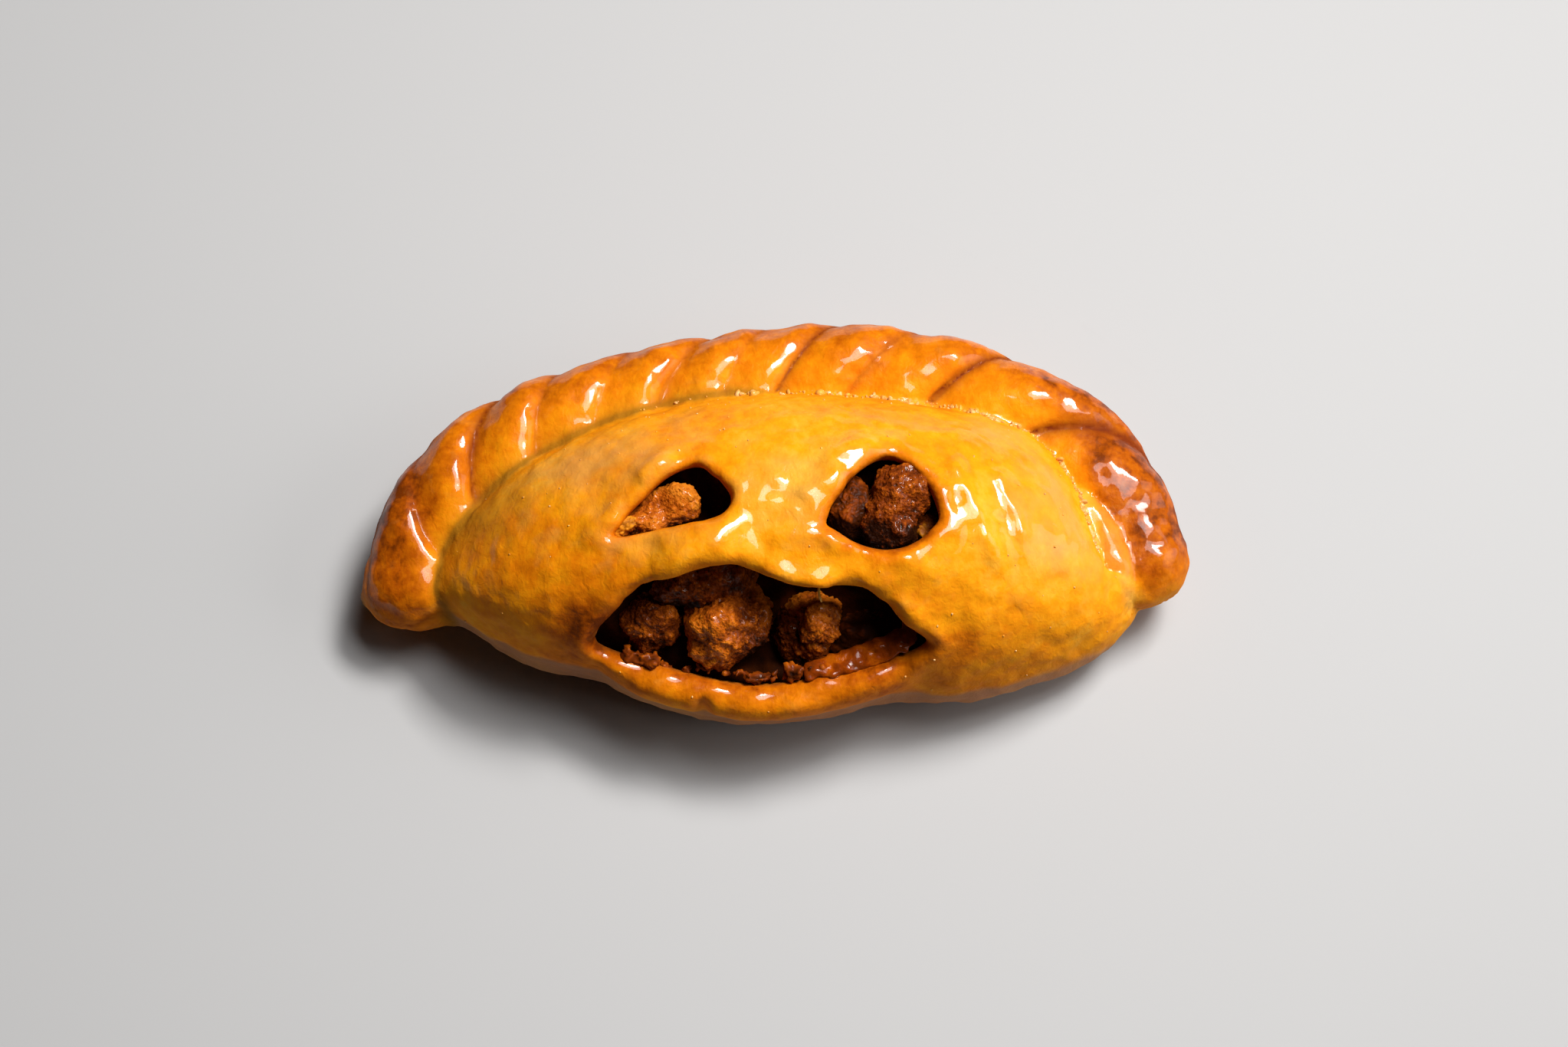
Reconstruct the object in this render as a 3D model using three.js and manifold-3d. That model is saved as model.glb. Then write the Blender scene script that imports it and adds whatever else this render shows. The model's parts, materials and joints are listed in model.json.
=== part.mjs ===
// A curry puff: a half-moon of pastry folded over a curry filling. Its curved edge is sealed with a
// twisted rope of dough, and two eyes and a mouth are cut through its crust to let out the steam.
// Millimetres, +Z up. X runs along the puff, +Y is its rope side and -Y its belly.
// The origin is on the surface that the puff rests on, under the middle of its bounding box.
import * as THREE from "three";
import { mergeVertices } from "three/addons/utils/BufferGeometryUtils.js";
import Module from "manifold-3d";

const wasm = await Module();
wasm.setup();

// Driving dimensions of the puff, all in millimetres unless a comment says otherwise.
const HEIGHT = 36; // from the base to the crown
const WALL = 3.6; // thickness of the crust
const CLEARANCE = 0.8; // between the crust and the filling

// The filled body, before its base is cut flat. Its two ends differ: reach is from the middle to the
// corner, backReach is the same for the back, and the exponents say how fast the belly narrows
// (frontTaper), and how late and how fast the back does (backFullness and backTaper).
const BODY = {
  left: { reach: 53.5, backReach: 53.5, frontTaper: 1, backFullness: 2, backTaper: 0.5 },
  right: { reach: 54.5, backReach: 48.3, frontTaper: 0.67, backFullness: 9, backTaper: 0.75 },
  middleY: -4, // the line that belly and back are measured from
  cornerSetback: 7, // how far that line runs forward at the corners
  waist: 8, // height at which the sides bulge furthest
  belly: 24.5, // from the middle line to the belly
  back: 23.9, // from the middle line to the seam
  backEnd: 1, // the same at the corners
  under: 12, // depth of the underside before it is cut flat
  fullness: 2.4, // exponent: how long the body keeps its full section
  crownTaper: 0.6, // exponent: how fast the crown falls towards the corners
};
// The belly swells below the mouth, and is drawn in on either side of that.
const SWELLS = [
  { x: -3, spread: 12, depth: 2 },
  { x: -28, spread: 7, depth: -2 },
  { x: 16, spread: 7, depth: -1.8 },
];
// Towards the left corner the belly keeps a fuller shoulder: from and to are distances from the middle,
// and squareness is the section's exponent there, which is 2 for an ellipse.
const SHOULDER = { from: 22, to: 38, squareness: 3.2 };

// The rope along the seam. Its middle line runs near most of a half ellipse.
const ROPE = {
  halfSpan: 57.4,
  rise: 37.6,
  cornerY: -14, // the ellipse's middle
  short: { left: 0.16, right: 0.25 }, // radians by which its ends stop before the half ellipse's
  outward: 7.5, // from the middle line to its outside
  inward: 9, // and to its inside, which is pressed onto the body
  height: 13,
  middleZ: 13, // at the back of the puff
  droop: 4.5, // how much lower its ends lie
};
// How far outside the half ellipse the rope runs, at degrees round it from the right.
const SHIFTS = [
  [0, -2],
  [13, -2],
  [25, 0.4],
  [34, 2.4],
  [50, 2.7],
  [64, 2],
  [80, 1],
  [100, -1],
  [118, -1.2],
  [135, 0.2],
  [150, 0.8],
  [167, -1.2],
  [180, -1.2],
];
// Length along the rope of each twist, from the left end to the right one.
const TWISTS = [16, 15, 12, 12.5, 14, 10, 12.5, 15.5, 15, 27.5, 12];
// Where one twist laps over the next: the crease's depth as a share of the rope's half size, the share
// of that left on the rope's outside, and exponents for how far a twist leans onto the next one and for
// how plump it is.
const CREASE = { depth: 0.26, outside: 0.15, lean: 1.6, plumpness: 0.75 };
// The rope's last end, tucked in beside it. turn is in degrees.
const TAIL = { length: 22, width: 8, height: 11, x: 47.9, y: -3.1, z: 13.2, turn: -64 };

// The openings. Each outline is drawn on a plane that faces along the cut, from the opening's middle:
// across is along X, and up is towards the rope. lean is how far the cut leans forward, in degrees.
const OPENINGS = {
  leftEye: {
    at: { x: -15.5, y: -4.2 },
    lean: 14,
    outline: [
      [-8.8, -5],
      [-4.5, 0.5],
      [0, 4.4],
      [4.5, 5.3],
      [8.3, 1.6],
      [8, -1.4],
      [4.5, -3.2],
      [-2.5, -4.4],
    ],
    hollow: { across: 12, up: 9, depth: 12 },
  },
  rightEye: {
    at: { x: 14.8, y: -4.4 },
    lean: 14,
    outline: [
      [-8.6, -2.4],
      [-3.2, 5.2],
      [1.5, 6.8],
      [6, 3.8],
      [8.7, -2.2],
      [5.5, -5.6],
      [0, -7],
      [-5.5, -5.2],
    ],
    hollow: { across: 12, up: 10, depth: 12 },
  },
  mouth: {
    at: { x: -2.8, y: -22.2 },
    lean: 42,
    outline: [
      [-24, -5.3],
      [-21, 2.4],
      [-15, 7.6],
      [-5.5, 10.2],
      [2, 8],
      [8.5, 6.6],
      [15.4, 5.6],
      [22, -0.7],
      [24, -4.2],
      [15.6, -8],
      [0, -10.6],
      [-12, -8.8],
    ],
    hollow: { across: 27, up: 13.5, depth: 14 },
  },
};
const CUT = { in: 13, out: 9 }; // how far a cut reaches to either side of the crust's face

// The chunks of filling that show, largest first: half sizes and the place of the middle, as across,
// up and depth below the crust's face at its opening, with turns about those axes in degrees.
const CHUNKS = [
  { in: "mouth", at: [-4.8, -2.6, 10], half: [6.4, 5.6, 6], turn: [10, 8, 18] },
  { in: "mouth", at: [-8.8, 3.6, 11.4], half: [7, 5, 5], turn: [0, 0, -8] },
  { in: "mouth", at: [8.4, -3, 11], half: [5, 5.6, 5.4], turn: [-8, 12, -14] },
  { in: "mouth", at: [-16.4, -2.6, 12.4], half: [4.4, 4.6, 5], turn: [14, -6, 24] },
  { in: "mouth", at: [15.6, -4.8, 12.8], half: [6, 3, 4.6], turn: [0, 10, 12] },
  { in: "leftEye", at: [-2, -0.8, 9.6], half: [5.8, 3.3, 4.2], turn: [6, 0, 22] },
  { in: "rightEye", at: [2.1, 0, 10.1], half: [4.4, 5, 4.8], turn: [0, 6, -10] },
  { in: "rightEye", at: [-3.8, -0.4, 9.8], half: [3.4, 4.2, 4.2], turn: [0, -10, 16] },
];
const CHUNK_SQUARENESS = 3.4; // exponent: 2 is an egg, and more is a cube with round edges

// Facets.
const BODY_FACETS = [44, 30];
const CAVITY_FACETS = [36, 20];
const ROPE_FACETS = [18, 96];
const TAIL_FACETS = [14, 8];
const CHUNK_FACETS = [10, 7];
const HOLLOW_FACETS = [20, 12];
const OUTLINE_POINTS = 32;

const FAR = 200; // larger than the puff

// Solids

/** A closed geometry as a solid that can be joined and cut. */
function solidOf(geometry) {
  const bare = geometry.clone();
  bare.deleteAttribute("normal");
  bare.deleteAttribute("uv");
  const merged = mergeVertices(bare, 1e-4);
  const mesh = new wasm.Mesh({
    numProp: 3,
    vertProperties: new Float32Array(merged.attributes.position.array),
    triVerts: new Uint32Array(merged.index.array),
  });
  return new wasm.Manifold(mesh);
}

/** A solid as a geometry that can be drawn. */
function geometryOf(solid) {
  const mesh = solid.getMesh();
  const geometry = new THREE.BufferGeometry();
  geometry.setAttribute("position", new THREE.BufferAttribute(mesh.vertProperties, 3));
  geometry.setIndex(new THREE.BufferAttribute(mesh.triVerts, 1));
  geometry.computeVertexNormals();
  return geometry;
}

/** Moves each vertex of a geometry to where place puts it. */
function reshape(geometry, place) {
  const points = geometry.attributes.position;
  const point = new THREE.Vector3();
  for (let i = 0; i < points.count; i++) {
    place(point.fromBufferAttribute(points, i));
    points.setXYZ(i, point.x, point.y, point.z);
  }
  return geometry;
}

/** Everything above a height. */
function above(height) {
  return solidOf(new THREE.BoxGeometry(FAR, FAR, FAR).translate(0, 0, height + FAR / 2));
}

const degrees = THREE.MathUtils.degToRad;

// The body

/** Middle and half sizes of the body's cross-section, at a share from -1 to 1 of the way to a corner. */
function sectionAt(share, inset) {
  const side = share < 0 ? BODY.left : BODY.right;
  const x = share * (side.reach - inset);
  const kept = Math.max(0, 1 - Math.abs(share) ** BODY.fullness);
  const bulge = SWELLS.reduce((sum, s) => sum + s.depth * Math.exp(-(((x - s.x) / s.spread) ** 2)), 0);
  const crown = kept ** BODY.crownTaper;
  const fuller = THREE.MathUtils.clamp((-x - SHOULDER.from) / (SHOULDER.to - SHOULDER.from), 0, 1);
  const behind = Math.min(1, Math.abs(x) / (side.backReach - inset));
  const back = (BODY.back - inset) * (1 - behind ** side.backFullness) ** side.backTaper;
  return {
    x,
    y: BODY.middleY - BODY.cornerSetback * share * share,
    belly: (BODY.belly + bulge - inset) * kept ** side.frontTaper,
    back: Math.max(back, BODY.backEnd * kept),
    top: (HEIGHT - BODY.waist - inset) * crown,
    under: (BODY.under - inset) * crown,
    squareness: THREE.MathUtils.mapLinear(fuller, 0, 1, 2, SHOULDER.squareness),
  };
}

/** The body's shape, set in from its face by inset: a ball with its poles at the corners, reshaped. */
function bodyShape(inset, facets) {
  const ball = new THREE.SphereGeometry(1, ...facets).rotateZ(-Math.PI / 2);
  return reshape(ball, (p) => {
    const ring = Math.hypot(p.y, p.z) || 1;
    const [across, up] = [p.y / ring, p.z / ring];
    const section = sectionAt(THREE.MathUtils.clamp(p.x, -1, 1), inset);
    const power = across < 0 && up > 0 ? 2 / section.squareness : 1;
    const [wide, tall] = [across, up].map((part) => Math.sign(part) * Math.abs(part) ** power);
    p.x = section.x;
    p.y = section.y + wide * (across < 0 ? section.belly : section.back);
    p.z = BODY.waist + tall * (up < 0 ? section.under : section.top);
  });
}

/** Height of the body's face over a place on its plan. */
function crownAt({ x, y }) {
  const section = sectionAt(x / (x < 0 ? BODY.left : BODY.right).reach, 0);
  const across = (y - section.y) / (y < section.y ? section.belly : section.back);
  return BODY.waist + section.top * Math.sqrt(1 - across * across);
}

// The rope

const seam = new THREE.EllipseCurve(
  0,
  ROPE.cornerY,
  ROPE.halfSpan,
  ROPE.rise,
  Math.PI - ROPE.short.left,
  ROPE.short.right,
  true,
);

/** Height of the rope's middle line, which droops towards the corners. */
function ropeHeight(y) {
  const fall = 1 - (y - ROPE.cornerY) / ROPE.rise;
  return ROPE.middleZ - ROPE.droop * fall * fall;
}

/** How many twists of the rope lie before a share of its length. */
function twistsBefore(share) {
  let rest = share * TWISTS.reduce((sum, length) => sum + length, 0);
  let count = 0;
  while (count < TWISTS.length - 1 && rest > TWISTS[count]) {
    rest -= TWISTS[count];
    count += 1;
  }
  return count + rest / TWISTS[count];
}

const shiftAt = new THREE.CubicInterpolant(
  SHIFTS.map(([angle]) => degrees(angle)),
  SHIFTS.map(([, shift]) => shift),
  1,
);

/** How deep the rope is creased at a number of twists along it, from 0 to 1. */
function creaseAt(turn) {
  const leant = (turn - Math.floor(turn)) ** CREASE.lean;
  return 1 - (4 * leant * (1 - leant)) ** CREASE.plumpness;
}

/** The rope: a bar with round ends, bent along the seam, with a slanting crease after each twist. */
function rope() {
  const cap = ROPE.outward;
  const length = seam.getLength();
  return reshape(new THREE.SphereGeometry(1, ...ROPE_FACETS), (p) => {
    const ring = Math.hypot(p.x, p.z) || 1;
    const [outward, upward] = [-p.x / ring, p.z / ring];
    const along = (Math.acos(THREE.MathUtils.clamp(-p.y, -1, 1)) / Math.PI) * (length + 2 * cap) - cap;
    const share = THREE.MathUtils.clamp(along / length, 0, 1);
    const beyond = along - share * length;
    const turn = twistsBefore(share) + Math.atan2(upward, outward) / Math.PI;
    const lap = CREASE.outside + (1 - CREASE.outside) * Math.max(0, upward);
    const swell = Math.sqrt(1 - (beyond / cap) ** 2) * (1 - CREASE.depth * lap * creaseAt(turn));
    const point = seam.getPointAt(share);
    const tangent = seam.getTangentAt(share);
    const angle = Math.atan2((point.y - ROPE.cornerY) / ROPE.rise, point.x / ROPE.halfSpan);
    const out = shiftAt.evaluate(angle)[0] + outward * swell * (outward > 0 ? ROPE.outward : ROPE.inward);
    const up = upward * (ROPE.height / 2) * swell;
    p.x = point.x + tangent.x * beyond - tangent.y * out;
    p.y = point.y + tangent.y * beyond + tangent.x * out;
    p.z = ropeHeight(point.y) + up;
  });
}

/** The rope's last end: an egg of dough laid along the inside of the right corner. */
function tail() {
  const egg = new THREE.SphereGeometry(1, ...TAIL_FACETS).rotateZ(-Math.PI / 2);
  egg.scale(TAIL.length / 2, TAIL.width / 2, TAIL.height / 2).rotateZ(degrees(TAIL.turn));
  return egg.translate(TAIL.x, TAIL.y, TAIL.z);
}

// The openings

/** The place and direction of an opening: its own Z leaves the crust along the cut. */
function frameOf(opening) {
  const place = new THREE.Vector3(opening.at.x, opening.at.y, crownAt(opening.at));
  return new THREE.Matrix4().makeRotationX(degrees(opening.lean)).setPosition(place);
}

/** What a cut takes out of the crust. */
function cutOf(opening) {
  const corners = opening.outline.map(([across, up]) => new THREE.Vector3(across, up, 0));
  const edge = new THREE.CatmullRomCurve3(corners, true, "catmullrom");
  const points = edge.getSpacedPoints(OUTLINE_POINTS).slice(0, -1);
  const shape = new THREE.Shape(points.reverse().map((p) => new THREE.Vector2(p.x, p.y)));
  const cut = new THREE.ExtrudeGeometry(shape, { depth: CUT.in + CUT.out, bevelEnabled: false });
  return solidOf(cut.translate(0, 0, -CUT.in).applyMatrix4(frameOf(opening)));
}

/** The space that the filling has left under an opening as it settled. */
function hollowOf(opening) {
  const { across, up, depth } = opening.hollow;
  const egg = new THREE.SphereGeometry(1, ...HOLLOW_FACETS).rotateX(Math.PI / 2);
  return solidOf(egg.scale(across, up, depth).applyMatrix4(frameOf(opening)));
}

// The filling

/** A diced chunk: a cube with round edges, turned, at its place under an opening. */
function chunk({ in: name, at, half, turn }) {
  const dice = new THREE.SphereGeometry(1, ...CHUNK_FACETS);
  reshape(dice, (p) => {
    const sum = [p.x, p.y, p.z].reduce((s, v) => s + Math.abs(v) ** CHUNK_SQUARENESS, 0);
    p.multiplyScalar(sum ** (-1 / CHUNK_SQUARENESS));
  });
  dice.scale(...half);
  dice.applyMatrix4(new THREE.Matrix4().makeRotationFromEuler(new THREE.Euler(...turn.map(degrees))));
  dice.translate(at[0], at[1], -at[2]);
  return solidOf(dice.applyMatrix4(frameOf(OPENINGS[name])));
}

// The puff

const openings = Object.values(OPENINGS);
const cavity = solidOf(bodyShape(WALL, CAVITY_FACETS)).intersect(above(WALL));
const cuts = openings.map(cutOf);
const dough = solidOf(bodyShape(0, BODY_FACETS)).add(solidOf(rope())).add(solidOf(tail()));
const crust = [cavity, ...cuts].reduce((rest, part) => rest.subtract(part), dough.intersect(above(0)));

const mass = solidOf(bodyShape(WALL + CLEARANCE, CAVITY_FACETS)).intersect(above(WALL + CLEARANCE));
const core = openings.map(hollowOf).reduce((rest, part) => rest.subtract(part), mass);
const filling = CHUNKS.map(chunk).reduce((sum, part) => sum.add(part), core);

const pastry = new THREE.MeshStandardMaterial({ color: 0xd98a2b, roughness: 0.35, metalness: 0 });
const curry = new THREE.MeshStandardMaterial({ color: 0x6b3413, roughness: 0.4, metalness: 0 });

function node(name, solid, material) {
  const mesh = new THREE.Mesh(geometryOf(solid), material);
  mesh.name = name;
  return mesh;
}

const puff = new THREE.Group();
puff.add(node("crust", crust, pastry), node("filling", filling, curry));
const middle = new THREE.Box3().setFromObject(puff).getCenter(new THREE.Vector3());
puff.position.set(-middle.x, -middle.y, 0);

const root = new THREE.Group();
root.add(puff);

export default root;
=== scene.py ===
import json

import bmesh
import bpy
import numpy as np
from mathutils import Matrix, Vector


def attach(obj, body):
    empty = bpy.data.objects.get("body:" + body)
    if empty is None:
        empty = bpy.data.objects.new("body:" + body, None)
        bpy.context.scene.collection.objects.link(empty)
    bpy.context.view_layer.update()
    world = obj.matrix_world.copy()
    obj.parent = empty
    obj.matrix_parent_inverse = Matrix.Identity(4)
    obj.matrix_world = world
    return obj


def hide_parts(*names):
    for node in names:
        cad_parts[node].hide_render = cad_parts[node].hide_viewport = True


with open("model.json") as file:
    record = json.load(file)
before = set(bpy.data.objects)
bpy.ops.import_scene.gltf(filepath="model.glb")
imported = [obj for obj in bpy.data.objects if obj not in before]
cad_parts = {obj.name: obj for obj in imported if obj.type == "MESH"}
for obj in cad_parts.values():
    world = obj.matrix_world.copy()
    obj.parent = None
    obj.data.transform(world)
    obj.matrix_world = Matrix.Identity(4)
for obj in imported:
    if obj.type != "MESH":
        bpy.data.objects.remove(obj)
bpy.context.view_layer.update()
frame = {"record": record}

# The crust: one round of shortcrust dough, folded over the filling and sealed along its curved edge, which is
# pinched and turned over itself into a rope. Two eyes and a mouth were cut through it, their edges puffed in
# the oven, and egg wash baked it golden and glossy. It lies on the side that lay on the tray.

MM = 0.001
PUFF_ORIGIN = np.array(frame["record"]["mounts"][0]["pos_m"])  # the base mount, under the body's middle

# The body, in mm: half ellipses about a line at the height of its waist, smaller towards the two corners.
# Pairs of values are for the left and the right.
HEIGHT, WAIST, UNDER, WALL = 36.0, 8.0, 12.0, 3.6
MIDDLE_Y, CORNER_SETBACK = -4.0, 7.0
REACH, FULLNESS, CROWN_TAPER = (53.5, 54.5), 2.4, 0.6
BELLY, BELLY_TAPER = 24.5, (1.0, 0.67)
BACK, BACK_END = 23.9, 1.0
BACK_REACH, BACK_FULLNESS, BACK_TAPER = (53.5, 48.3), (2.0, 9.0), (0.5, 0.75)
# The belly swells below the mouth, and is drawn in on either side of that: a middle x, a spread and a depth.
SWELLS = [(-3.0, 12.0, 2.0), (-28.0, 7.0, -2.0), (16.0, 7.0, -1.8)]
# Towards the left corner the belly keeps a fuller shoulder: from where to where, and its section's exponent.
SHOULDER, SHOULDER_SQUARENESS = (-22.0, -38.0), 3.2


def rise(value, start, end):
    """0 up to start, 1 from end on and a straight line in between."""
    return np.clip((value - start) / (end - start), 0, 1)


def hump(off, spread):
    """1 in the middle of a hump, falling away smoothly on both sides of it."""
    return np.exp(-((off / spread) ** 2))


def fade(distance, reach):
    """1 up to a distance of nought, and fading away beyond it."""
    return np.exp(-np.maximum(distance, 0) / reach)


def by_side(x, left_and_right):
    return np.where(x < 0, *left_and_right)


def body_section(x, inset):
    """The body's cross-sections at each x, set in from its face by inset: where the middle is, and the half
    sizes to the front, to the back, up and down."""
    share = np.clip(np.abs(x) / (by_side(x, REACH) - inset), 0, 0.9999)
    kept = 1 - share ** FULLNESS
    swell = sum(depth * hump(x - at, spread) for at, spread, depth in SWELLS)
    belly = (BELLY + swell - inset) * kept ** by_side(x, BELLY_TAPER)
    behind = np.clip(np.abs(x) / (by_side(x, BACK_REACH) - inset), 0, 1)
    back = (BACK - inset) * (1 - behind ** by_side(x, BACK_FULLNESS)) ** by_side(x, BACK_TAPER)
    back = np.maximum(back, BACK_END * kept)
    crown = kept ** CROWN_TAPER
    top, under = (HEIGHT - WAIST - inset) * crown, (UNDER - inset) * crown
    return MIDDLE_Y - CORNER_SETBACK * share ** 2, belly, back, top, under


def body_distance(p, inset=0.0):
    """About how far each place is outside the body, or inside it where negative."""
    x, y, z = p.T
    middle, belly, back, top, under = body_section(x, inset)
    across, up = y - middle, z - WAIST
    wide = np.abs(across) / np.where(across < 0, belly, back)
    tall = np.abs(up) / np.where(up < 0, under, top)
    power = 2 + (SHOULDER_SQUARENESS - 2) * rise(x, *SHOULDER) * (across < 0) * (up > 0)
    ratio = (wide ** power + tall ** power) ** (1 / power)
    return np.hypot(across, up) * (1 - 1 / np.maximum(ratio, 1e-3))


def crown_at(x, y):
    """Height of the body's face over a place on its plan."""
    middle, belly, back, top, _ = body_section(np.array([x]), 0.0)
    across = (y - middle) / (belly if y < middle else back)
    return float((WAIST + top * np.sqrt(1 - across ** 2))[0])


# The rope, in mm: it runs along half an ellipse, and stops short of both its ends by an angle.
ROPE_SPAN, ROPE_RISE, ROPE_CORNER_Y = 57.4, 37.6, -14.0
ROPE_SHORT_LEFT, ROPE_SHORT_RIGHT = 0.16, 0.25
ROPE_OUTWARD, ROPE_INWARD, ROPE_HEIGHT, ROPE_Z, ROPE_DROOP = 7.5, 9.0, 13.0, 13.0, 4.5
ROPE_SQUARENESS = 2.3  # exponent of the rope's section, which is 2 for an ellipse
# How far outside the ellipse it runs, at angles round it from the right.
SHIFT_ANGLES = np.radians([0, 13, 25, 34, 50, 64, 80, 100, 118, 135, 150, 167, 180])
SHIFTS = np.array([-2.0, -2.0, 0.4, 2.4, 2.7, 2.0, 1.0, -1.0, -1.2, 0.2, 0.8, -1.2, -1.2])
SHIFT_BLUR = 12  # in steps of half a degree, to either side
# Its twists from left to right: their lengths, how deep the crease is where each laps over the next, as a
# share of the rope's half height, and how dark red that crease is.
TWISTS = np.array([16, 15, 12, 12.5, 14, 10, 12.5, 15.5, 15, 27.5, 12])
LAPS = np.array([0.08, 0.22, 0.38, 0.25, 0.17, 0.30, 0.14, 0.26, 0.18, 0.38, 0.36, 0.0, 0.0, 0.0])
REDNESS = np.array([0.0, 0.3, 0.9, 0.5, 0.1, 0.5, 0.3, 0.9, 0.5, 1.0, 1.0, 0.0, 0.0, 0.0])
TWIST_LEAN, TWIST_PLUMPNESS = 1.6, 0.75
SLANT_MORE, SLANT_WHERE = 0.45, (18.0, -2.0)  # how much more the creases slant going left, and where
CREASE_BELOW = 0.15  # the share of a crease's depth that is left on the rope's lower side
CREASE_BEFORE, CREASE_AFTER = 12, 20  # exponents of how narrow a crease's two sides are
LEAST_BEND = 200.0

seam_angles = np.linspace(np.pi - ROPE_SHORT_LEFT, ROPE_SHORT_RIGHT, 600)
seam_steps = np.hypot(ROPE_SPAN * np.diff(np.cos(seam_angles)), ROPE_RISE * np.diff(np.sin(seam_angles)))
seam_lengths = np.concatenate([[0], np.cumsum(seam_steps)])
twist_ends = np.concatenate([[0], np.cumsum(TWISTS)]) * seam_lengths[-1] / TWISTS.sum()
shift_steps = np.linspace(0, np.pi, 361)
shifts = np.pad(np.interp(shift_steps, SHIFT_ANGLES, SHIFTS), SHIFT_BLUR, "edge")
shifts = np.convolve(shifts, np.ones(2 * SHIFT_BLUR + 1) / (2 * SHIFT_BLUR + 1), "valid")


def rope_distance(p):
    """How far each place is outside the rope, how far it is in a crease of it, and how red that crease is."""
    x, y, z = p.T
    y = y - ROPE_CORNER_Y
    angle = np.arctan2(y / ROPE_RISE, x / ROPE_SPAN)
    angle = np.where(angle < -np.pi / 2, angle + 2 * np.pi, angle)
    for _ in range(4):
        sine, cosine = np.sin(angle), np.cos(angle)
        off_x, off_y = ROPE_SPAN * cosine - x, ROPE_RISE * sine - y
        pull = off_y * ROPE_RISE * cosine - off_x * ROPE_SPAN * sine
        bend = (ROPE_SPAN * sine) ** 2 + (ROPE_RISE * cosine) ** 2
        bend = np.maximum(bend - off_x * ROPE_SPAN * cosine - off_y * ROPE_RISE * sine, LEAST_BEND)
        angle = np.clip(angle - pull / bend, ROPE_SHORT_RIGHT, np.pi - ROPE_SHORT_LEFT)
    sine, cosine = np.sin(angle), np.cos(angle)
    speed = np.hypot(ROPE_SPAN * sine, ROPE_RISE * cosine)
    along_x, along_y = ROPE_SPAN * sine / speed, -ROPE_RISE * cosine / speed
    off_x, off_y = x - ROPE_SPAN * cosine, y - ROPE_RISE * sine
    beyond = (off_x * along_x + off_y * along_y) / ROPE_OUTWARD
    out = off_y * along_x - off_x * along_y - np.interp(angle, shift_steps, shifts)
    out /= np.where(out < 0, ROPE_INWARD, ROPE_OUTWARD)
    up = (z - ROPE_Z + ROPE_DROOP * (1 - sine) ** 2) / (ROPE_HEIGHT / 2)
    length = np.interp(-angle, -seam_angles, seam_lengths)
    slant = 1 + SLANT_MORE * rise(x, *SLANT_WHERE)
    turn = np.interp(length, twist_ends, np.arange(len(twist_ends)))
    turn = turn + 0.5 + slant * (np.arctan2(up, out) / np.pi - 0.5)
    twist = np.clip(np.floor(turn), 0, len(LAPS) - 2).astype(int)
    part = np.clip(turn - np.floor(turn), 0, 1)
    lap = LAPS[twist] * (1 - part) + LAPS[twist + 1] * part
    leaning = part ** TWIST_LEAN
    sunk = lap * (1 - (4 * leaning * (1 - leaning)) ** TWIST_PLUMPNESS)
    sunk *= CREASE_BELOW + (1 - CREASE_BELOW) * np.clip(up, 0, 1)
    ratio = (np.abs([out, up, beyond]) ** ROPE_SQUARENESS).sum(0) ** (1 / ROPE_SQUARENESS)
    before, after = (1 - part) ** CREASE_BEFORE, part ** CREASE_AFTER
    redness = np.maximum(REDNESS[twist] * before, REDNESS[twist + 1] * after)
    return (ratio - 1 + sunk) * ROPE_HEIGHT / 2, np.maximum(before, after), redness


TAIL_HALF = np.array([11.0, 4.0, 5.5])
TAIL_PLACE = np.array([47.9, -3.1, 13.2])
TAIL_TURN = np.radians(-64)


def tail_distance(p):
    """How far each place is outside the rope's tucked-in last end, an egg of dough."""
    q = p - TAIL_PLACE
    along = q[:, 0] * np.cos(TAIL_TURN) + q[:, 1] * np.sin(TAIL_TURN)
    across = q[:, 1] * np.cos(TAIL_TURN) - q[:, 0] * np.sin(TAIL_TURN)
    ratio = np.linalg.norm(np.stack([along, across, q[:, 2]], 1) / TAIL_HALF, axis=1)
    return (ratio - 1) * TAIL_HALF[1]


def smooth_max(a, b, width):
    """The larger of two distances, rounded over where they are within width of each other."""
    blend = np.maximum(width - np.abs(a - b), 0) / width
    return np.maximum(a, b) + blend * blend * width / 4


def smooth_curve(corners, steps=7):
    """A smooth closed line through corner points."""
    corners = np.array(corners, float)
    before, after, beyond = np.roll(corners, 1, 0), np.roll(corners, -1, 0), np.roll(corners, -2, 0)
    points = []
    for t in np.arange(steps) / steps:
        points.append(0.5 * (
            2 * corners + (after - before) * t + (2 * before - 5 * corners + 4 * after - beyond) * t ** 2
            + (3 * corners - before - 3 * after + beyond) * t ** 3
        ))
    return np.stack(points, 1).reshape(-1, 2)


CUT_DEPTH = 13.0
RIM_REACH, RIM_BELOW = 9.0, 2.0  # how far round each cut, and below it, its rim counts


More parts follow.
